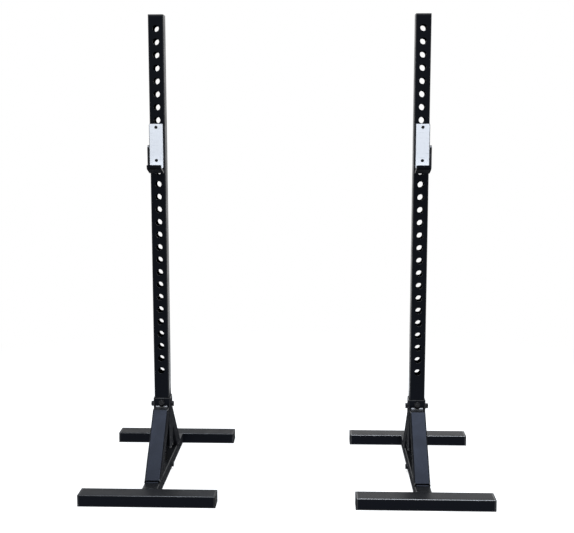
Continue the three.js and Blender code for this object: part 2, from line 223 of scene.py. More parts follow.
world = bpy.data.worlds.new("studio_world")
bpy.context.scene.world = world
world.use_nodes = True
tree = world.node_tree
tree.nodes.clear()
way = parts_of(tree, coordinates(tree, "Generated"))
level = ramp(tree, way["Y"], *FRONT_TO_BACK, FRONT_LIGHT, BEHIND_LIGHT)
overhead = ramp(tree, way["Z"], *OVERHEAD_RISE)
level = math_node(tree, "MAXIMUM", level, math_node(tree, "MULTIPLY", overhead, OVERHEAD_LIGHT))
surroundings = add_node(tree, "ShaderNodeBackground", Color=COOL_WHITE, Strength=level)[0]
white = add_node(tree, "ShaderNodeBackground", Color=WHITE, Strength=1.0)[0]
shown = join_shaders(tree, "ShaderNodeMixShader", seen_directly(tree), surroundings, white)
add_node(tree, "ShaderNodeOutputWorld", Surface=shown)
print("world nodes:", len(tree.nodes))

# %% Floor
FLOOR_SIZE = 60
FLOOR_GLOW = 0.66
FLOOR_GREY = (0.42, 0.42, 0.43, 1)
SHADOW_GREY = (0.5, 0.5, 0.5, 1)
SHADOW_REACH = (1.3, 3.0)

bpy.ops.object.select_all(action="DESELECT")
bpy.ops.mesh.primitive_plane_add(size=FLOOR_SIZE, location=(0, 0, 0))
floor = bpy.context.active_object
floor.name = "studio_floor"
floor_paint = bpy.data.materials.new("studio_floor_paint")
floor_paint.use_nodes = True
tree = floor_paint.node_tree
tree.nodes.clear()
matt = add_node(tree, "ShaderNodeBsdfDiffuse", Color=FLOOR_GREY)[0]
shaded = add_node(tree, "ShaderNodeBsdfDiffuse", Color=SHADOW_GREY)[0]
glow = add_node(tree, "ShaderNodeEmission", Color=WHITE, Strength=FLOOR_GLOW)[0]
plain = add_node(tree, "ShaderNodeEmission", Color=WHITE, Strength=1.0)[0]
lifted = join_shaders(tree, "ShaderNodeAddShader", shaded, glow)
distance = vector_math(tree, "LENGTH", coordinates(tree))["Value"]
far = ramp(tree, distance, *SHADOW_REACH)
faded = join_shaders(tree, "ShaderNodeMixShader", far, lifted, plain)
shown = join_shaders(tree, "ShaderNodeMixShader", seen_directly(tree), matt, faded)
add_node(tree, "ShaderNodeOutputMaterial", Surface=shown)
floor_paint.cycles.emission_sampling = "NONE"
floor.data.materials.append(floor_paint)
print("floor", FLOOR_SIZE, "m wide")

# %% Lamp
LAMP_PLACE = Vector((0.2, -1.1, 3.9))
LAMP_AIM = Vector((0.2, 0, 0))
LAMP_SIZE = (3.4, 1.2)
LAMP_WATTS = 225
LAMP_COLOUR = (0.86, 0.92, 1.0)

bpy.ops.object.select_all(action="DESELECT")
turn = (LAMP_AIM - LAMP_PLACE).to_track_quat("-Z", "Y").to_euler()
bpy.ops.object.light_add(type="AREA", location=LAMP_PLACE, rotation=turn)
lamp = bpy.context.active_object
lamp.name = "overhead_softbox"
lamp.data.shape = "RECTANGLE"
lamp.data.size, lamp.data.size_y = LAMP_SIZE
lamp.data.energy = LAMP_WATTS
lamp.data.color = LAMP_COLOUR
bpy.context.scene.view_settings.view_transform = "Standard"
print("lamp:", lamp.name, LAMP_WATTS, "W")

# %% [markdown]
# ## Finishes
# Black powder coat is never a flat black. It has a faint orange-peel skin, its shine changes from place
# to place, fine dust settles on whatever faces up, and the paint rubs thin along corners. The first three
# of these are in one node group, so that every painted piece shares them with its own amounts. It also
# dulls the undersides and the scuffed sides low down.


# %% Node groups
def new_group(name, inputs, outputs):
    """An empty shader group with named inputs and outputs."""
    group = bpy.data.node_groups.new(name, "ShaderNodeTree")
    for way, sockets in (("INPUT", inputs), ("OUTPUT", outputs)):
        for label, kind in sockets.items():
            group.interface.new_socket(label, in_out=way, socket_type=kind)
    return group, group.nodes.new("NodeGroupInput"), group.nodes.new("NodeGroupOutput")


def noise(tree, vector, scale, detail=2.0, roughness=0.5):
    """A Noise texture's plain value."""
    return add_node(
        tree, "ShaderNodeTexNoise", Vector=vector, Scale=scale, Detail=detail, Roughness=roughness,
    )[0]


FLOAT, COLOUR, VECTOR = "NodeSocketFloat", "NodeSocketColor", "NodeSocketVector"
DUST_COLOUR = (0.16, 0.165, 0.175, 1)
DUST_SLOPE = (0.35, 0.95)
CLOUDS = (9.0, 4.0, 0.6)
CLOUD_SPAN = (0.3, 0.7)
SPECKS = (420.0, 3.0, 0.7)
SPECK_SPAN = (0.59, 0.76)
FILM_SHARE = 0.5
DUST_ROUGHNESS = 0.25
UNEVENNESS = (-0.05, 0.06)
SCUFF_HEIGHT = (0.28, 0.36)
SCUFF_SLOPE = (0.6, 0.95)
SCUFF_ROUGHNESS = 0.65
UNDERSIDE_SLOPE = (-0.6, -0.1)
UNDERSIDE_ROUGHNESS = 0.6
PEEL_NOISE = (2.0, 0.45)

skin_group, skin_in, skin_out = new_group(
    "coated_skin",
    {"Colour": COLOUR, "Shine": FLOAT, "Grain Scale": FLOAT, "Dust": FLOAT},
    {"Colour": COLOUR, "Roughness": FLOAT, "Height": FLOAT},
)
tree = skin_group
where = coordinates(tree)
facing = parts_of(tree, coordinates(tree, "Normal"))
clouds = noise(tree, where, *CLOUDS)
film = math_node(tree, "MULTIPLY", clouds, FILM_SHARE)
settled = math_node(tree, "ADD", film, ramp(tree, noise(tree, where, *SPECKS), *SPECK_SPAN))
settled = math_node(tree, "MULTIPLY", settled, ramp(tree, facing["Z"], *DUST_SLOPE))
dust = math_node(tree, "MULTIPLY", settled, skin_in.outputs["Dust"], clamp=True)
dusty = mix_colours(tree, dust, skin_in.outputs["Colour"], DUST_COLOUR)
uneven = ramp(tree, clouds, *CLOUD_SPAN, *UNEVENNESS)
low_down = ramp(tree, parts_of(tree, where)["Z"], *SCUFF_HEIGHT, 1.0, 0.0)
sideways = ramp(tree, math_node(tree, "ABSOLUTE", facing["X"]), *SCUFF_SLOPE)
scuffed = math_node(tree, "MULTIPLY", low_down, sideways)
rough = skin_in.outputs["Shine"]
for extra in (
    uneven,
    math_node(tree, "MULTIPLY", scuffed, SCUFF_ROUGHNESS),
    ramp(tree, facing["Z"], *UNDERSIDE_SLOPE, UNDERSIDE_ROUGHNESS, 0.0),
):
    rough = math_node(tree, "ADD", rough, extra)
rough = math_node(tree, "ADD", rough, math_node(tree, "MULTIPLY", dust, DUST_ROUGHNESS), clamp=True)
peel = noise(tree, where, skin_in.outputs["Grain Scale"], *PEEL_NOISE)
set_inputs(tree, skin_out, Colour=dusty, Roughness=rough, Height=peel)
print("coated_skin has", len(tree.nodes), "nodes")

# %% [markdown]
# Rubbed corners need to know how far a point is from the nearest long edge. For a box-shaped piece this
# is simple: measure how deep the point lies under each of the three pairs of faces, and the second
# smallest of the three depths is the distance to an edge.

# %% Group: distance to a box's nearest edge
PATCHES = (38.0, 5.0, 0.65)
PATCH_SPAN = (0.52, 0.66)
UPPER_SLOPE = (0.1, 0.5)
LOWER_EDGE_SHARE = 0.35

edge_group, edge_in, edge_out = new_group(
    "edge_rub",
    {"Centre": VECTOR, "Half Size": VECTOR, "Width": FLOAT},
    {"Mask": FLOAT, "Upper Edge": FLOAT},
)
tree = edge_group
where = coordinates(tree)
from_centre = vector_math(tree, "SUBTRACT", where, edge_in.outputs["Centre"])[0]
outward = vector_math(tree, "ABSOLUTE", from_centre)[0]
depth = parts_of(tree, vector_math(tree, "SUBTRACT", edge_in.outputs["Half Size"], outward)[0])
smaller = math_node(tree, "MINIMUM", depth["X"], depth["Y"])
larger = math_node(tree, "MAXIMUM", depth["X"], depth["Y"])
middle = math_node(tree, "MAXIMUM", smaller, math_node(tree, "MINIMUM", larger, depth["Z"]))
nearness = math_node(tree, "DIVIDE", middle, edge_in.outputs["Width"])
near_edge = math_node(tree, "SUBTRACT", 1.0, nearness, clamp=True)
patch_mask = ramp(tree, noise(tree, where, *PATCHES), *PATCH_SPAN)
mask = math_node(tree, "MULTIPLY", near_edge, patch_mask, clamp=True)
facing = parts_of(tree, coordinates(tree, "Normal"))
facing_up = ramp(tree, facing["Z"], *UPPER_SLOPE, LOWER_EDGE_SHARE, 1.0)
upper_edge = math_node(tree, "MULTIPLY", near_edge, facing_up)
set_inputs(tree, edge_out, Mask=mask, Upper_Edge=upper_edge)
print("edge_rub has", len(tree.nodes), "nodes")


# %% Powder coat
def finish_shader(name):
    """A new material with its Principled shader, ready to be given its textures."""
    material = bpy.data.materials.new(name)
    material.use_nodes = True
    return material, material.node_tree, material.node_tree.nodes["Principled BSDF"]


def add_group(tree, group, **inputs):
    """The outputs of one use of a node group, with its own values."""
    node = tree.nodes.new("ShaderNodeGroup")
    node.node_tree = group
    set_inputs(tree, node, **inputs)
    return node.outputs


def add_bump(tree, shader, height, strength, distance):
    """Feeds a height to the shader's Normal through a Bump node."""
    bump = add_node(tree, "ShaderNodeBump", Height=height, Strength=strength, Distance=distance)
    tree.links.new(bump[0], shader.inputs["Normal"])


# Painted light: the coat's reflections get a blue tint, standing in for a cool light.
PAINTED_BLUE_REFLECTION_TINT = (0.63, 0.72, 1.0, 1)
COAT_REFLECTION = 0.08
COAT_SKIN = {"Colour": (0.0020, 0.0022, 0.0027, 1), "Grain_Scale": 850.0, "Dust": 0.17}
COAT_BUMP = (0.22, 0.0004)
RUB_WIDTH = 4 * MM
RUBBED_GREY = (0.06, 0.063, 0.07, 1)
SHINE = 0.28
DULL_SHINE = 0.46
POLISH = 1.6
SPINE_POLISH = 0.25
DULL_POLISH = 0.55
POLISHED_IOR = 1.8
POLISHED_ROUGHNESS = 0.22


def powder_coat(name, centre, half_size, polish=POLISH, shine=SHINE):
    """Black powder coat whose rubbed corners follow a box of the given centre and half size."""
    material, tree, shader = finish_shader(name)
    skin = add_group(tree, skin_group, Shine=shine, **COAT_SKIN)
    rub = add_group(tree, edge_group, Centre=centre, Half_Size=half_size, Width=RUB_WIDTH)
    worn = mix_colours(tree, rub["Mask"], skin["Colour"], RUBBED_GREY)
    edge_polish = math_node(tree, "MULTIPLY", rub["Upper Edge"], polish, clamp=True)
    set_inputs(tree, shader, Base_Color=worn, Roughness=skin["Roughness"], Coat_Weight=edge_polish)
    set_inputs(tree, shader, Coat_Roughness=POLISHED_ROUGHNESS, Coat_IOR=POLISHED_IOR)
    set_inputs(tree, shader, Specular_IOR_Level=COAT_REFLECTION, Specular_Tint=PAINTED_BLUE_REFLECTION_TINT)
    add_bump(tree, shader, skin["Height"], *COAT_BUMP)
    return material


def coat_for(node):
    """Powder coat fitted to the box of one CAD node. A spine's edges and the left feet are duller."""
    low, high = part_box(node)
    polish, shine = POLISH, SHINE
    if node.endswith("spine_tube"):
        polish = SPINE_POLISH
    elif node in ("left_front_cross_tube", "left_rear_cross_tube"):
        polish, shine = DULL_POLISH, DULL_SHINE
    return powder_coat(node + "_coat", (low + high) / 2, (high - low) / 2, polish, shine)


print("powder coat ready")

# %% [markdown]
# The end plugs are moulded plastic with a fine spark-eroded grain. The white liner and pad are sawn from
# a dense slippery plastic sheet: a trace of saw lines, and grey marks where steel has rubbed on them.


# %% Plastics
def stretched(tree, scale):
    """Object coordinates scaled along each axis, so that a noise on them is drawn out."""
    return add_node(tree, "ShaderNodeMapping", Vector=coordinates(tree), Scale=scale)[0]


PLASTIC_SKIN = {"Colour": (0.006, 0.0064, 0.007, 1), "Shine": 0.52, "Grain_Scale": 2600.0, "Dust": 0.2}
PLASTIC_REFLECTION = 0.2
PLASTIC_BUMP = (0.35, 0.0002)
LINER_WHITE = (0.68, 0.69, 0.71, 1)
LINER_SHADE = (0.65, 0.66, 0.685, 1)
LINER_ROUGHNESS = (0.42, 0.6)
SAW_STRETCH = (1, 1, 0.02)
SAW_LINES = (900.0, 3.0, 0.6)
SAW_SPAN = (0.35, 0.7)
SAW_BUMP = (0.12, 0.0003)
MARK_STRETCH = (0.35, 1, 2.2)
MARKS = (55.0, 6.0, 0.7)
MARK_SPAN = (0.56, 0.74)
MARK_GREY = (0.33, 0.34, 0.37, 1)
MARK_SHARE = 0.45

black_plastic, tree, shader = finish_shader("black_plastic")
skin = add_group(tree, skin_group, **PLASTIC_SKIN)
set_inputs(tree, shader, Base_Color=skin["Colour"], Roughness=skin["Roughness"])
set_inputs(tree, shader, Specular_IOR_Level=PLASTIC_REFLECTION)
add_bump(tree, shader, skin["Height"], *PLASTIC_BUMP)

white_plastic, tree, shader = finish_shader("white_plastic")
saw_lines = noise(tree, stretched(tree, SAW_STRETCH), *SAW_LINES)
lined = mix_colours(tree, ramp(tree, saw_lines, *SAW_SPAN), LINER_WHITE, LINER_SHADE)
marks = ramp(tree, noise(tree, stretched(tree, MARK_STRETCH), *MARKS), *MARK_SPAN)
marked = mix_colours(tree, math_node(tree, "MULTIPLY", marks, MARK_SHARE), lined, MARK_GREY)
set_inputs(tree, shader, Base_Color=marked, Roughness=ramp(tree, marks, 0.0, 1.0, *LINER_ROUGHNESS))
add_bump(tree, shader, saw_lines, *SAW_BUMP)
print("plastics:", black_plastic.name, white_plastic.name)

# %% [markdown]
# The bolts are blackened steel, a thin dark skin that lets the metal glint where tools have touched it.
# The pin is bare turned steel: fine rings round it and a few long scratches from sliding in its hole.

# %% Steels
OXIDE_BLACK = (0.014, 0.0145, 0.016, 1)
OXIDE_WORN = (0.075, 0.077, 0.082, 1)
OXIDE_METALLIC = 0.85
OXIDE_ROUGHNESS = (0.34, 0.5)
OXIDE_BUMP = (0.08, 0.0002)
BLOTCHES = (260.0, 5.0, 0.6)
WORN_SPAN = (0.5, 0.75)
STEEL_GREY = (0.42, 0.43, 0.45, 1)
STEEL_BRIGHT = (0.6, 0.61, 0.63, 1)
STEEL_ROUGHNESS = (0.24, 0.38)
STEEL_BUMP = (0.15, 0.0002)
RING_STRETCH = (0.02, 1, 0.02)
RING_SCALE = 2400.0
SCRATCH_STRETCH = (1, 0.03, 1)
SCRATCHES = (1300.0, 4.0, 0.6)
SCRATCH_SPAN = (0.58, 0.7)
NOISE_SPAN = (0.3, 0.7)

dark_steel, tree, shader = finish_shader("dark_steel")
blotches = noise(tree, coordinates(tree), *BLOTCHES)
blackened = mix_colours(tree, ramp(tree, blotches, *WORN_SPAN), OXIDE_BLACK, OXIDE_WORN)
rough = ramp(tree, blotches, *NOISE_SPAN, *OXIDE_ROUGHNESS)
set_inputs(tree, shader, Base_Color=blackened, Roughness=rough, Metallic=OXIDE_METALLIC)
add_bump(tree, shader, blotches, *OXIDE_BUMP)

plain_steel, tree, shader = finish_shader("plain_steel")
turned = noise(tree, stretched(tree, RING_STRETCH), RING_SCALE)
scratches = ramp(tree, noise(tree, stretched(tree, SCRATCH_STRETCH), *SCRATCHES), *SCRATCH_SPAN)
steel = mix_colours(tree, scratches, STEEL_GREY, STEEL_BRIGHT)
rough = ramp(tree, turned, *NOISE_SPAN, *STEEL_ROUGHNESS)
set_inputs(tree, shader, Base_Color=steel, Roughness=rough, Metallic=1.0)
add_bump(tree, shader, turned, *STEEL_BUMP)
print("steels:", dark_steel.name, plain_steel.name)

# %% [markdown]
# ## Tools for modelling
# Everything below is made as it would be by hand: add a primitive at its size, go into edit mode, pick
# faces or edges by where they are, and bevel, inset, extrude or cut them. These helpers only shorten the
# typing.


# %% Modelling helpers
def select_only(piece):
    """Leaves object mode's selection with this one piece, active."""
    bpy.ops.object.select_all(action="DESELECT")
    piece.select_set(True)
    bpy.context.view_layer.objects.active = piece


def start_edit(piece):
    """Goes into edit mode on one piece."""
    select_only(piece)
    bpy.ops.object.mode_set(mode="EDIT")


def end_edit():
    """Goes back to object mode."""
    bpy.ops.object.mode_set(mode="OBJECT")


def pick(piece, kind, test):
    """In edit mode, selects the faces or edges that pass a test, and returns how many there are."""
    bpy.ops.mesh.select_mode(type=kind)
    bpy.ops.mesh.select_all(action="DESELECT")
    mesh = bmesh.from_edit_mesh(piece.data)
    chosen = [e for e in (mesh.faces if kind == "FACE" else mesh.edges) if test(e)]
    for element in chosen:
        element.select_set(True)
    bmesh.update_edit_mesh(piece.data)
    return len(chosen)


def bevel_edges(piece, test, width, segments=CORNER_SEGMENTS, **settings):
    """In edit mode, bevels the edges that pass a test, and returns how many there are."""
    count = pick(piece, "EDGE", test)
    bpy.ops.mesh.bevel(offset=width, segments=segments, affect="EDGES", **settings)
    return count


def extrude(offset):
    """In edit mode, extrudes what is picked by a vector."""
    bpy.ops.mesh.extrude_region_move(TRANSFORM_OT_translate={"value": offset})


def slice_off(point, normal):
    """In edit mode, cuts off what lies beyond a plane and closes the cut."""
    bpy.ops.mesh.select_all(action="SELECT")
    bpy.ops.mesh.bisect(plane_co=point, plane_no=normal, use_fill=True, clear_outer=True)


def face_outwards():
    """In edit mode, turns every face outwards."""
    bpy.ops.mesh.select_all(action="SELECT")
    bpy.ops.mesh.normals_make_consistent(inside=False)


def middle_of(edge):
    """The point halfway along an edge."""
    return (edge.verts[0].co + edge.verts[1].co) / 2


def runs_along(edge, axis):
    """Whether an edge is parallel to an axis."""
    along = (edge.verts[1].co - edge.verts[0].co).normalized()
    return abs(along.dot(axis)) > PARALLEL


def settle():
    """Puts the active object's place, turn and scale into its mesh."""
    bpy.ops.object.transform_apply(location=True, rotation=True, scale=True)


def add_block(name, low, high):
    """A box between two corners, as a mesh in place."""
    bpy.ops.object.select_all(action="DESELECT")
    low, high = Vector(low), Vector(high)
    bpy.ops.mesh.primitive_cube_add(size=1, location=(low + high) / 2)
    block = bpy.context.active_object
    block.name = name
    block.scale = high - low
    settle()
    return block


def add_rod(name, centre, axis, radius, length, sides=DISC_SIDES):
    """A cylinder along an axis, as a mesh in place."""
    bpy.ops.object.select_all(action="DESELECT")
    turn = axis.to_track_quat("Z", "Y").to_euler()
    bpy.ops.mesh.primitive_cylinder_add(
        vertices=sides, radius=radius, depth=length, location=centre, rotation=turn,
    )
    rod = bpy.context.active_object
    rod.name = name
    settle()
    return rod


def apply_modifier(piece, kind, **settings):
    """Adds a modifier, sets it and applies it."""
    select_only(piece)
    modifier = piece.modifiers.new(kind.lower(), kind)
    for name, value in settings.items():
        setattr(modifier, name, value)
    bpy.ops.object.modifier_apply(modifier=modifier.name)


def round_edges(piece, radius, segments=2):
    """Rounds every sharp edge of a piece."""
    apply_modifier(
        piece, "BEVEL", width=radius, segments=segments, limit_method="ANGLE", angle_limit=SHARP_ANGLE,
    )


def clean_mesh(piece, distance):
    """Merges points closer than a distance, drops slivers and turns every face outwards."""
    start_edit(piece)
    bpy.ops.mesh.select_all(action="SELECT")
    bpy.ops.mesh.remove_doubles(threshold=distance)
    bpy.ops.mesh.dissolve_degenerate(threshold=distance)
    face_outwards()
    end_edit()


def carve(piece, cutter, operation="DIFFERENCE"):
    """Cuts one mesh by another, which is used up."""
    apply_modifier(piece, "BOOLEAN", operation=operation, object=cutter, solver="EXACT")
    bpy.data.objects.remove(cutter)


def merge_pieces(name, pieces):
    """Joins several meshes into one object."""
    bpy.ops.object.select_all(action="DESELECT")
    for piece in pieces:
        piece.select_set(True)
    bpy.context.view_layer.objects.active = pieces[0]
    bpy.ops.object.join()
    joined = bpy.context.active_object
    joined.name = name
    return joined


print("modelling helpers ready")


# %% [markdown]
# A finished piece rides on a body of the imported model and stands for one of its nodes. Its shading is
# smooth over bends and flat on flats: the Weighted Normal modifier makes the large faces win over the
# narrow bevels beside them.


# %% Finishing a piece and mirroring it
def dress(piece, body, material, nodes):
    """Shades a piece, gives it its finish, ties it to its body and hides the nodes it stands for."""
    select_only(piece)
    bpy.ops.object.shade_smooth_by_angle(angle=SMOOTH_ANGLE)
    apply_modifier(piece, "WEIGHTED_NORMAL", keep_sharp=True)
    piece.data.materials.clear()
    piece.data.materials.append(material)
    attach(piece, body)
    if nodes:
        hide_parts(*nodes)


def mirrored(piece, name):
    """A copy of a piece on the other side of the plane X = 0, with its faces turned out again."""
    select_only(piece)
    bpy.ops.object.duplicate()
    twin = bpy.context.active_object
    twin.name = name
    twin.scale.x = -1
    settle()
    start_edit(twin)
    face_outwards()
    end_edit()
    return twin


def finish_pair(piece, label, node, body="stands", material=None):
    """Finishes a right-hand piece and its mirror image, each for the node of its own side."""
    clean_mesh(piece, SAME_POINT)
    twin = mirrored(piece, "left_" + label)
    piece.name = "right_" + label
    for side, one in (("left", twin), ("right", piece)):
        rides_on = body if body == "stands" else f"{side}_{body}"
        nodes = [f"{side}_{node}"] if node else []
        finish = material or coat_for(f"{side}_{node}")
        dress(one, rides_on, finish, nodes)
    print(label, "pair:", len(piece.data.vertices), "vertices each")


# %% [markdown]
# ## Square tubes
# The frame is rolled steel tube with small rounded corners. Bevelling the long edges of a block gives
# the outside, an inset on each end gives the wall, and bridging the two inner loops opens the tube.


# %% Blocks and tubes with rounded corners
def add_stock(name, low, high, axis, corner):
    """A block between two corner points, with its edges along an axis rounded."""
    stock = add_block(name, low, high)
    start_edit(stock)
    bevel_edges(stock, lambda edge: runs_along(edge, axis), corner)
    end_edit()
    return stock


def add_tube(name, low, high, axis, corner, wall):
    """A hollow tube with rounded corners between two corner points."""
    tube = add_stock(name, low, high, axis, corner)
    start_edit(tube)
    pick(tube, "FACE", lambda face: abs(face.normal.dot(axis)) > PARALLEL)
    bpy.ops.mesh.inset(thickness=wall)
    bpy.ops.mesh.delete(type="FACE")
    open_rim = pick(tube, "EDGE", lambda edge: edge.is_boundary)
    bpy.ops.mesh.bridge_edge_loops()
    face_outwards()
    end_edit()
    print(name, "opened along", open_rim, "rim edges")
    return tube


# %% [markdown]
# ## Floor tubes
# Two cross tubes lie on the floor and the spine joins them, its top level with theirs.

# %% Cross tubes and spine
RIM_ROUNDING = 0.4 * MM

for label, node, axis in (
    ("front_foot", "front_cross_tube", X),
    ("rear_foot", "rear_cross_tube", X),
    ("spine", "spine_tube", Y),
):
    tube = add_tube(label, *node_box(node), axis, TUBE_CORNER, TUBE_WALL)
    round_edges(tube, RIM_ROUNDING)
    finish_pair(tube, label, node)

# %% [markdown]
# ## End plugs
# Each plug has a flange with soft edges, a shallow mark where the plastic flowed into its mould, and a
# hollow stub that is pushed into the tube.


# %% Plug
FLANGE_ROUNDING = 1.2 * MM
FLANGE_SEGMENTS = 4
STUB_INSET = 3.3 * MM
STUB_WALL = 2.5 * MM
STUB_DEPTH = 20 * MM
GATE_RADIUS = 3 * MM
GATE_DEPTH = 0.4 * MM
GATE_SIDES = 32
POST_CORNER = 6 * MM


def add_plug(name, low, high, outward, corner):
    """A plug whose flange fills the outer part of a box and whose stub fills the rest of it."""
    stub = outward * STUB_DEPTH
    flange = (low + stub, high) if sum(outward) > 0 else (low, high + stub)
    plug = add_stock(name, *flange, outward, corner)
    start_edit(plug)
    pick(plug, "FACE", lambda face: face.normal.dot(outward) > PARALLEL)
    bpy.ops.mesh.region_to_loop()
    bpy.ops.mesh.bevel(offset=FLANGE_ROUNDING, segments=FLANGE_SEGMENTS, affect="EDGES")
    end_edit()
    depth = abs((high - low).dot(outward))
    face_centre = (low + high) / 2 + outward * depth / 2
    # The gate is cut before the stub is made. Cut after it, the recess can come out as a bump.
    carve(plug, add_rod("gate", face_centre, outward, GATE_RADIUS, 2 * GATE_DEPTH, GATE_SIDES))
    start_edit(plug)
    pick(plug, "FACE", lambda face: face.normal.dot(outward) < -PARALLEL)
    bpy.ops.mesh.inset(thickness=STUB_INSET)
    extrude(-stub)
    bpy.ops.mesh.inset(thickness=STUB_WALL)
    extrude(stub)
    end_edit()
    print(name, "flange", round((depth - STUB_DEPTH) / MM, 1), "mm")
    return plug


for end in ("front", "rear"):
    for place, outward in (("outer", X), ("inner", -X)):
        label = f"{end}_{place}"
        plug = add_plug(f"{label}_end_plug", *node_box(f"{label}_plug"), outward, TUBE_CORNER)
        finish_pair(plug, f"{label}_end_plug", f"{label}_plug", "stands", black_plastic)

cap = add_plug("post_cap", *node_box("upright_cap"), Z, POST_CORNER)
finish_pair(cap, "post_cap", "upright_cap", "stands", black_plastic)

# %% [markdown]
# ## The post
# The row of holes is the stand's hallmark. One 50 mm length of tube with one hole through it is modelled
# with care, its rims rounded as paint rounds them, and an Array repeats it down the post. That keeps
# every hole alike and the mesh clean.

# %% One length of the post
FIRST_HOLE_DROP = 50 * MM
HOLE_COUNT = 28
DRILL_LENGTH = 80 * MM
RIM_RADIUS = 0.7 * MM

low, high = node_box("upright")
cell_top = high.z - FIRST_HOLE_DROP + HOLE_PITCH / 2
cell_low = Vector((low.x, low.y, cell_top - HOLE_PITCH))
cell_high = Vector((high.x, high.y, cell_top))
cell = add_tube("post_cell", cell_low, cell_high, Z, POST_CORNER, TUBE_WALL)
hole_centre = Vector((STAND_X, 0, cell_top - HOLE_PITCH / 2))
carve(cell, add_rod("drill", hole_centre, Y, HOLE_RADIUS, DRILL_LENGTH, HOLE_SIDES))


def on_rim(edge):
    """Whether an edge lies round the hole on one of the tube's faces."""
    if abs(edge.verts[0].co.y - edge.verts[1].co.y) > TOUCH:
        return False
    distances = [Vector((v.co.x - hole_centre.x, v.co.z - hole_centre.z)).length for v in edge.verts]
    return all(abs(d - HOLE_RADIUS) < NEAR for d in distances)


start_edit(cell)
rims = bevel_edges(cell, on_rim, RIM_RADIUS, SOFT_SEGMENTS)
pick(cell, "FACE", lambda face: abs(face.normal.z) > PARALLEL)
bpy.ops.mesh.delete(type="FACE")
end_edit()
print("rim edges of one cell:", rims)

# %% The whole post
apply_modifier(
    cell, "ARRAY", count=HOLE_COUNT, use_relative_offset=False, use_constant_offset=True,
    constant_offset_displace=(0, 0, -HOLE_PITCH), use_merge_vertices=True, merge_threshold=MERGE_DISTANCE,
)
lowest = cell_top - HOLE_COUNT * HOLE_PITCH
start_edit(cell)
for level, target in ((cell_top, high.z), (lowest, low.z)):
    pick(cell, "EDGE", lambda edge: edge.is_boundary and abs(middle_of(edge).z - level) < NEAR)
    extrude((0, 0, target - level))
    bpy.ops.mesh.bridge_edge_loops()
face_outwards()
end_edit()
finish_pair(cell, "post", "upright")

# %% [markdown]
# ## Sleeve
# A larger tube holds the post's foot. A plate with a drain hole is welded under it.

# %% Sleeve and its plate
SLEEVE_CORNER = 6.5 * MM
SLEEVE_WALL = 3.5 * MM
SLEEVE_ROUNDING = 0.8 * MM
PLATE_ROUNDING = 0.5 * MM
DRAIN_RADIUS = 10 * MM
DRAIN_LENGTH = 30 * MM

sleeve = add_tube("sleeve", *node_box("socket"), Z, SLEEVE_CORNER, SLEEVE_WALL)
round_edges(sleeve, SLEEVE_ROUNDING)
finish_pair(sleeve, "sleeve", "socket")

plate = add_stock("sleeve_plate", *node_box("socket_plate"), Z, SLEEVE_CORNER)
carve(plate, add_rod("drain", node_middle("socket_plate"), Z, DRAIN_RADIUS, DRAIN_LENGTH, HOLE_SIDES))
round_edges(plate, PLATE_ROUNDING)
finish_pair(plate, "sleeve_plate", "socket_plate")

# %% [markdown]
# ## Struts
# A strut is a square tube sawn off four ways: level on the spine, upright at its toe, upright against
# the sleeve and level on top. A long block with rounded edges is laid at 45 degrees and sliced with
# bisect, which also closes each cut.

# %% Front and rear struts
STRUT_SIZE = 60 * MM
STRUT_CORNER = 5 * MM
TOE_HEIGHT = 10 * MM
SLOPE = math.radians(45)
CUT_ROUNDING = 0.9 * MM


def add_strut(name, low, high, lean):
    """A sloping tube cut to the box of its node, leaning back (1) or forward (-1) from its toe."""
    toe_y = low.y if lean > 0 else high.y
    length = 3 * (high - low).length
    start = Vector((STAND_X - STRUT_SIZE / 2, min(0, lean) * STRUT_SIZE, -length / 2))
    strut = add_stock(name, start, start + Vector((STRUT_SIZE, STRUT_SIZE, length)), Z, STRUT_CORNER)
    strut.rotation_euler.x = -SLOPE * lean
    strut.location = (0, toe_y, low.z + TOE_HEIGHT - TOUCH)
    settle()
    start_edit(strut)
    for corner, normal in ((low, -Z), (high, Z), (low, -Y), (high, Y)):
        slice_off(corner, normal)
    end_edit()
    round_edges(strut, CUT_ROUNDING, SOFT_SEGMENTS)
    return strut


for end, lean in (("front", 1), ("rear", -1)):
    strut = add_strut(f"{end}_strut", *node_box(f"{end}_brace"), lean)
    finish_pair(strut, f"{end}_strut", f"{end}_brace")

# %% [markdown]
# ## Bolts and nuts
# A forged hexagon head is turned to a shallow cone on top, which leaves a curved edge on each flat. The
# same shape comes from keeping what a hexagon and a turned blank have in common. The washer has eased
# edges, and the tip of the bolt shows past the nut.


# %% Fastener shapes
ACROSS_FLATS = 19 * MM
HEAD_HEIGHT = 7.5 * MM
NUT_HEIGHT = 10 * MM
WASHER_RADIUS = 12 * MM
WASHER_BORE_RADIUS = 6.6 * MM
WASHER_THICKNESS = 2.5 * MM
SHANK_RADIUS = 6 * MM
CHAMFER_DROP = 1.6 * MM
TURNED_SIDES = 72
HEXAGON_MERGE = 0.05 * MM
HEXAGON_ROUNDING = 0.25 * MM
WASHER_ROUNDING = 0.4 * MM


def turn_blank(centre, axis, radius, height, both_ends):
    """A cylinder with its outer edges turned off at one end or at both."""
    blank = add_rod("turned_blank", centre, axis, radius, height, TURNED_SIDES)

    def at_turned_end(edge):
        """Whether an edge lies round an end that is turned off."""
        offset = (middle_of(edge) - centre).dot(axis)
        level = not runs_along(edge, axis) and abs(abs(offset) - height / 2) < TOUCH
        return level and (both_ends or offset > 0)

    start_edit(blank)
    bevel_edges(blank, at_turned_end, CHAMFER_DROP, 1)
    end_edit()
    return blank


def add_hexagon(name, base, axis, height, both_ends):
    """A bolt head or a nut, standing on its base point along an axis."""
    centre = base + axis * height / 2
    radius = ACROSS_FLATS / math.sqrt(3)
    hexagon = add_rod(name, centre, axis, radius, height, 6)
    carve(hexagon, turn_blank(centre, axis, radius + TOUCH, height, both_ends), "INTERSECT")
    clean_mesh(hexagon, HEXAGON_MERGE)
    round_edges(hexagon, HEXAGON_ROUNDING)
    return hexagon


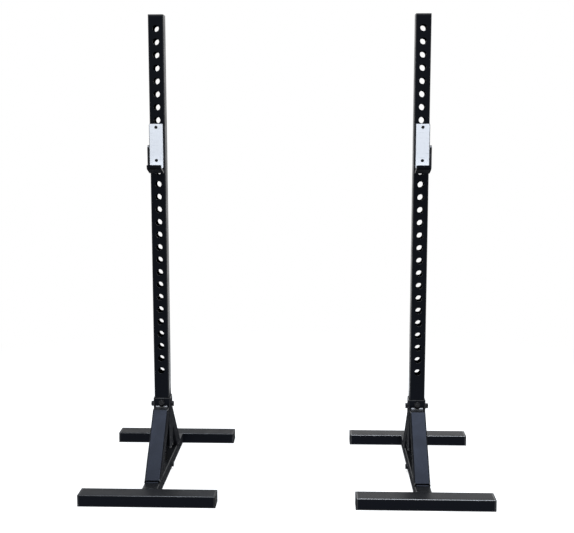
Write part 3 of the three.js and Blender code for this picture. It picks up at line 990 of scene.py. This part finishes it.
def add_washer(face, axis):
    """A washer with eased edges, lying on a face."""
    washer = add_rod("washer", face + axis * WASHER_THICKNESS / 2, axis, WASHER_RADIUS, WASHER_THICKNESS)
    round_edges(washer, WASHER_ROUNDING)
    return washer


print("fastener shapes ready")


# %% Through bolts
TIP_LENGTH = 1 * MM
SHANK_ROUNDING = 0.8 * MM
BORE_LENGTH = 60 * MM
BORE_SIDES = 36


def add_bolt(name, face, axis, grip):
    """A bolt whose head's washer sits on a face, and whose shank runs back through the grip."""
    head = add_hexagon("head", face + axis * WASHER_THICKNESS, axis, HEAD_HEIGHT, False)
    washer = add_washer(face, axis)
    length = grip + WASHER_THICKNESS + NUT_HEIGHT + TIP_LENGTH
    shank = add_rod("shank", face + axis * (TOUCH - length / 2), axis, SHANK_RADIUS, length + TOUCH)
    round_edges(shank, SHANK_ROUNDING)
    return merge_pieces(name, [head, washer, shank])


def add_nut(name, face, axis):
    """A nut on its washer, standing on a face."""
    washer = add_washer(face, axis)
    nut = add_hexagon("nut", face + axis * WASHER_THICKNESS, axis, NUT_HEIGHT, True)
    for blank, radius in ((washer, WASHER_BORE_RADIUS), (nut, SHANK_RADIUS + TOUCH)):
        carve(blank, add_rod("bore", face, axis, radius, BORE_LENGTH, BORE_SIDES))
    return merge_pieces(name, [washer, nut])


for label, node, axis in (
    ("sleeve_front", "socket_front", -Y),
    ("sleeve_side", "socket_side", -X),
    ("spine", "spine", -X),
):
    centre = node_middle(f"{node}_bolt")
    head_level = (node_box(f"{node}_bolt")[0] - centre).dot(-axis) + HEAD_HEIGHT + WASHER_THICKNESS
    nut_level = (node_box(f"{node}_nut")[0] - centre).dot(-axis)
    bolt = add_bolt(f"{label}_through_bolt", centre - axis * head_level, axis, nut_level - head_level)
    finish_pair(bolt, f"{label}_through_bolt", f"{node}_bolt", "stands", dark_steel)
    nut = add_nut(f"{label}_lock_nut", centre - axis * nut_level, -axis)
    finish_pair(nut, f"{label}_lock_nut", f"{node}_nut", "stands", dark_steel)

# %% [markdown]
# ## The J-hook
# The hook is one strip of 8 mm plate. It is made as the press brake makes it: a flat back plate, a bend
# that turns it into a floor which rises towards the front, and a second bend for the lip. Spin sweeps
# the strip's end face round each bend.

# %% Bent plate
PLATE = 8 * MM
BEND_RADIUS = 8 * MM
BEND_STEPS = 12
OUTER_BEND = PLATE + BEND_RADIUS
FLOOR_SLOPE = math.radians(17)
HOOK_CORNER = 7 * MM
HOOK_ROUNDING = 0.8 * MM
LIP_CORNER = 4 * MM
BEND_DROP = 140 * MM
LIP_REACH = 110 * MM
LIP_HEIGHT = 3.5 * MM
SCREW_SHANK_RADIUS = 3 * MM
PIN_CLEARANCE = 0.3 * MM

low, high = node_box("hook_plate")
pin_low, pin_high = node_box("hook_pin")
pin_z = node_middle("hook_pin").z
hook_x = node_middle("hook_plate").x
hook_half_width = (high.x - low.x) / 2
hook_rear = high.y
hook_front = hook_rear - PLATE
bend_y = hook_rear - OUTER_BEND
bend_z = pin_z - BEND_DROP
lip_bend_y = -LIP_REACH + OUTER_BEND
floor_length = (bend_y - lip_bend_y) / math.cos(FLOOR_SLOPE)
lip_bend_z = bend_z + floor_length * math.sin(FLOOR_SLOPE)
lip_top_z = lip_bend_z + LIP_HEIGHT
floor_way = Vector((0, -math.cos(FLOOR_SLOPE), math.sin(FLOOR_SLOPE)))

hook = add_block("hook_bent_plate", (low.x, hook_front, bend_z), (high.x, hook_rear, high.z))
start_edit(hook)
pick(hook, "FACE", lambda face: face.normal.z < -PARALLEL)
for angle, bend_centre, onward in (
    (QUARTER_TURN + FLOOR_SLOPE, (hook_x, bend_y, bend_z), floor_way * floor_length),
    (QUARTER_TURN - FLOOR_SLOPE, (hook_x, lip_bend_y, lip_bend_z), Z * LIP_HEIGHT),
):
    bpy.ops.mesh.spin(steps=BEND_STEPS, angle=angle, center=bend_centre, axis=X)
    extrude(onward)
bpy.ops.mesh.select_all(action="SELECT")
bpy.ops.mesh.remove_doubles(threshold=MERGE_DISTANCE)
face_outwards()


def is_corner(edge, level):
    """Whether an edge is a short one at the side of the plate, at one height."""
    spot = middle_of(edge)
    at_side = abs(abs(spot.x - hook_x) - hook_half_width) < TOUCH
    return at_side and abs(spot.z - level) < TOUCH and runs_along(edge, Y)


corners = bevel_edges(hook, lambda edge: is_corner(edge, high.z), HOOK_CORNER, WIDE_SEGMENTS)
corners += bevel_edges(hook, lambda edge: is_corner(edge, lip_top_z), LIP_CORNER, clamp_overlap=True)
end_edit()

plate_middle = (hook_front + hook_rear) / 2
pin_radius = (pin_high.x - pin_low.x) / 2
bores = [(STAND_X, pin_z, pin_radius + PIN_CLEARANCE)]
for node in ("hook_upper_screw", "hook_lower_screw"):
    bores.append((hook_x, node_middle(node).z, SCREW_SHANK_RADIUS + PIN_CLEARANCE))
for x, z, radius in bores:
    carve(hook, add_rod("bore", (x, plate_middle, z), Y, radius, 2 * PLATE, BORE_SIDES))
round_edges(hook, HOOK_ROUNDING, SOFT_SEGMENTS)
finish_pair(hook, "hook_bent_plate", "hook_plate", "hook")
print("rounded corners:", corners)

# %% [markdown]
# The guard is a flat plate that keeps the hook square to the post. Its lower edge rises towards the
# front, and a plane cuts that slope. Bevel rounds the sharp corner left behind it as a stretched quarter
# circle, so its reach is worked out from how far that corner lies below the finished plate.

# %% Guard
GUARD_CORNER = 12 * MM
LOW_CORNER_SEGMENTS = 12

low, high = node_box("hook_guard")
guard_depth = high.y - low.y
middle_z = node_middle("hook_guard").z
rise = guard_depth * math.tan(FLOOR_SLOPE)
to_centre = Vector((guard_depth - GUARD_CORNER, GUARD_CORNER - rise))
edge_slope = math.asin(GUARD_CORNER / to_centre.length) - math.atan2(to_centre.y, to_centre.x)
sine = math.sin(edge_slope)
sharp_drop = guard_depth * math.tan(edge_slope) - rise


def is_top_corner(edge):
    """Whether an edge is one of the guard's two upper ones."""
    return runs_along(edge, X) and middle_of(edge).z > middle_z


def is_lowest_corner(edge):
    """Whether an edge is the guard's lower one at the back."""
    spot = middle_of(edge)
    return runs_along(edge, X) and spot.y > high.y - TOUCH and spot.z < middle_z


guard = add_block("hook_side_guard", low - Z * rise, high)
start_edit(guard)
slice_off(low + Z * rise, (0, -sine, -math.cos(edge_slope)))
top_corners = bevel_edges(guard, is_top_corner, GUARD_CORNER, WIDE_SEGMENTS)
bevel_width = sharp_drop / (1 + sine - math.hypot(1, sine))
low_corners = bevel_edges(guard, is_lowest_corner, bevel_width, LOW_CORNER_SEGMENTS)
end_edit()
round_edges(guard, HOOK_ROUNDING, SOFT_SEGMENTS)
finish_pair(guard, "hook_side_guard", "hook_guard", "hook")
print("guard corners rounded:", top_corners + low_corners)

# %% [markdown]
# The pin is turned from round steel, with a chamfer that leads it into its hole.


# %% Pin
PIN_SIDES = 64
PIN_CHAMFER = 2 * MM
PIN_ROUNDING = 0.3 * MM


def at_pin_tip(edge):
    """Whether an edge lies round the end of the pin that goes into its hole."""
    return not runs_along(edge, Y) and middle_of(edge).y > pin_high.y - TOUCH


pin_length = pin_high.y - pin_low.y
pin = add_rod("hook_peg", node_middle("hook_pin"), Y, pin_radius, pin_length, PIN_SIDES)
start_edit(pin)
bevel_edges(pin, at_pin_tip, PIN_CHAMFER, 1)
end_edit()
round_edges(pin, PIN_ROUNDING)
finish_pair(pin, "hook_peg", "hook_pin", "pin", plain_steel)

# %% [markdown]
# ## Liner, pad and screws
# The liner and the pad keep steel from rubbing on the painted plate. The liner's two screws sit in
# countersinks just below its surface.


# %% Screws
SCREW_HEAD_RADIUS = 6 * MM
SCREW_HEAD_HEIGHT = 3 * MM
SCREW_RIM = 0.4 * MM
SCREW_LENGTH = 14.5 * MM
SCREW_SOCKET = 4 * MM
SCREW_SOCKET_DEPTH = 2 * MM
SCREW_ROUNDING = 0.15 * MM


def add_countersunk(name, top, clearance=0, extra=0):
    """A countersunk shape whose head's top is at a point and whose shank points backwards."""
    head_radius = SCREW_HEAD_RADIUS + clearance
    shrink = (SCREW_SHANK_RADIUS + clearance) / head_radius
    shape = add_rod(name, top + Y * (SCREW_RIM - extra) / 2, Y, head_radius, SCREW_RIM + extra)
    start_edit(shape)
    pick(shape, "FACE", lambda face: face.normal.y > PARALLEL)
    extrude(Y * (SCREW_HEAD_HEIGHT - SCREW_RIM))
    bpy.ops.transform.resize(value=(shrink, 1, shrink), center_override=top + Y * SCREW_HEAD_HEIGHT)
    extrude(Y * (SCREW_LENGTH + clearance - SCREW_HEAD_HEIGHT))
    end_edit()
    return shape


screw_tops = []
for label, node in (("top", "hook_upper_screw"), ("bottom", "hook_lower_screw")):
    top = node_middle(node)
    top.y = node_box(node)[0].y
    screw_tops.append(top)
    screw = add_countersunk("hook_screw", top)
    carve(screw, add_rod("key", top, Y, SCREW_SOCKET / math.sqrt(3), 2 * SCREW_SOCKET_DEPTH, 6))
    round_edges(screw, SCREW_ROUNDING)
    finish_pair(screw, f"hook_{label}_screw", node, "hook", dark_steel)

# %% Liner and pad
LINER_CORNER = 3 * MM
LINER_ROUNDING = 0.9 * MM
PAD_THICKNESS = 5 * MM
PAD_WIDTH = 51 * MM
PAD_SHORTER = 2 * MM

liner = add_stock("hook_back_liner", *node_box("hook_liner"), Y, LINER_CORNER)
for top in screw_tops:
    carve(liner, add_countersunk("sink", top, TOUCH, PLATE))
round_edges(liner, LINER_ROUNDING, SOFT_SEGMENTS)
finish_pair(liner, "hook_back_liner", "hook_liner", "hook", white_plastic)

half_pad = Vector((PAD_WIDTH, floor_length - PAD_SHORTER, PAD_THICKNESS)) / 2
pad = add_stock("hook_floor_pad", X * hook_x - half_pad, X * hook_x + half_pad, Z, LINER_CORNER)
round_edges(pad, LINER_ROUNDING, SOFT_SEGMENTS)
pad.rotation_euler.x = -FLOOR_SLOPE
pad.location = (0, *node_middle("hook_pad").yz)
settle()
finish_pair(pad, "hook_floor_pad", "hook_pad", "hook", white_plastic)

# %% [markdown]
# ## Welds
# A fillet weld is a row of overlapping ripples in the corner between two pieces. A curve whose radius
# swells and narrows along its length gives the ripples; it is half sunk in both faces, so only the bead
# shows, and it is painted like the rest. Each strut's head and toe carry a broader fillet with an almost
# flat face. It is cut from a much thicker bead, of which only the corner between the two faces is kept.


# %% Weld beads
BEAD_RADIUS = 2.2 * MM
RIPPLE_PITCH = 3.2 * MM
RIPPLE_SHARES = (0.84, 0.95, 1.0, 0.97, 0.9)
END_SHARE = 0.55
STEP_SHARE = 0.15


def add_bead(name, start, end, radius=BEAD_RADIUS, shares=RIPPLE_SHARES, roundness=2):
    """One straight weld bead between two points, thinner towards its ends."""
    steps = max(2, round((end - start).length / RIPPLE_PITCH)) * len(shares)
    bpy.ops.object.select_all(action="DESELECT")
    curve = bpy.data.curves.new(name, "CURVE")
    curve.dimensions = "3D"
    curve.bevel_depth = radius
    curve.bevel_resolution = roundness
    curve.use_fill_caps = True
    line = curve.splines.new("POLY")
    line.points.add(steps)
    for index, point in enumerate(line.points):
        spot = start + (end - start) * index / steps
        point.co = (*spot, 1)
        from_end = min(index, steps - index)
        point.radius = shares[index % len(shares)] * min(1.0, END_SHARE + STEP_SHARE * from_end)
    bead = bpy.data.objects.new(name, curve)
    bpy.context.scene.collection.objects.link(bead)
    select_only(bead)
    bpy.ops.object.convert(target="MESH")
    bead = bpy.context.active_object
    clean_mesh(bead, SAME_POINT)
    return bead


FILLET_SHARES = (0.990, 0.997, 1.0, 0.998, 0.994)
FILLET_CURVE = 2.0
FILLET_DEPTH = 0.823
FILLET_ROUNDNESS = 10
FILLET_OVERLAP = 1 * MM


def add_fillet(name, start, end, out, leg):
    """A broad bead along X between a wall that faces out, along Y, and a level face below it."""
    sunk = Vector((0, -out, -1)) * FILLET_DEPTH * leg
    bead = add_bead(name, start + sunk, end + sunk, FILLET_CURVE * leg, FILLET_SHARES, FILLET_ROUNDNESS)
    near, far = sorted((start.y - out * FILLET_OVERLAP, start.y + 2 * out * leg))
    low = (start.x - leg, near, start.z - FILLET_OVERLAP)
    carve(bead, add_block("quadrant", low, (end.x + leg, far, start.z + 2 * leg)), "INTERSECT")
    return bead


print("ripples from", min(RIPPLE_SHARES), "to", max(RIPPLE_SHARES), "of", BEAD_RADIUS / MM, "mm")


# %% Where the welds run
def right(x, y, z):
    """A point given about the right-hand post's own axis."""
    return Vector((STAND_X + x, y, z))


def across(half_width, y, z):
    """The two ends of a line along X that is centred on the post."""
    return right(-half_width, y, z), right(half_width, y, z)


TOE_LEG = 4.5 * MM
HEAD_LEG = 7.5 * MM
SEAM_SHIFT = 1.2 * MM
SEAM_SINK = 1.7 * MM
SIDE_SINK = 1.5 * MM

sleeve_high = node_box("socket")[1]
spine_high = node_box("spine_tube")[1]
top = spine_high.z
half = STRUT_SIZE / 2
inset = half - TUBE_CORNER
slant = STRUT_SIZE * math.sqrt(2)
beads, toe_fillets, head_fillets = [], [], []
for end, side in (("front", -1), ("rear", 1)):
    low, high = node_box(f"{end}_brace")
    toe = low.y if side < 0 else high.y
    heel = toe - side * (slant - TOE_HEIGHT + TOUCH)
    head = side * sleeve_high.y
    head_bottom = top + TOE_HEIGHT + (abs(toe) - abs(head)) - slant
    spine_end = side * spine_high.y
    toe_fillets.append((*across(inset, toe, top), side, TOE_LEG))
    head_fillets.append((*across(inset, head, high.z), side, HEAD_LEG))
    beads.append(across(inset, heel, top))
    beads.append(across(inset, head, head_bottom))
    for edge in (-half, half):
        beads.append((right(edge, head, high.z - TUBE_CORNER), right(edge, head, head_bottom)))
        toe_corner = right(edge, toe - side * TUBE_CORNER, top - SIDE_SINK)
        beads.append((toe_corner, right(edge, heel, top - SIDE_SINK)))
        beads.append((right(edge, spine_end, TUBE_CORNER), right(edge, spine_end, top - TUBE_CORNER)))
    beads.append(across(inset, spine_end + side * SEAM_SHIFT, top - SEAM_SINK))
seam = node_box("socket_plate")[1].z
reach = sleeve_high.x - STAND_X
turn = reach - SLEEVE_CORNER
for edge in (-reach, reach):
    beads.append((right(edge, -turn, seam), right(edge, turn, seam)))
    beads.append(across(turn, edge, seam))
print("beads on each stand:", len(beads))

# %% Welds in one piece
# A weld has no long edge to rub, so its coat is fitted to a box far larger than the object.
FAR_BOX = ((0, 0, 0), (2, 2, 2))

weld_pieces = [add_bead(f"bead_{index}", *ends) for index, ends in enumerate(beads)]
weld_pieces += [add_fillet(f"toe_fillet_{index}", *fillet) for index, fillet in enumerate(toe_fillets)]
welds = merge_pieces("welds", weld_pieces)
finish_pair(welds, "weld_beads", None, "stands", powder_coat("weld_coat", *FAR_BOX))

# %% [markdown]
# ## Where the coat has pooled
# Under each front bolt the photograph shows a bright band. Powder flows into a corner as it melts, and a
# thicker, smoother coat there mirrors the lamp, so the two head fillets are a piece with a glossier coat.

# %% Head welds
POOLED_COAT = 0.5

pooled_coat = powder_coat("pooled_coat", *FAR_BOX)
shader = pooled_coat.node_tree.nodes["Principled BSDF"]
pooled_coat.node_tree.links.remove(shader.inputs["Coat Weight"].links[0])
shader.inputs["Coat Weight"].default_value = POOLED_COAT
head_pieces = [add_fillet(f"head_fillet_{index}", *fillet) for index, fillet in enumerate(head_fillets)]
head_welds = merge_pieces("head_welds", head_pieces)
finish_pair(head_welds, "head_welds", None, "stands", pooled_coat)
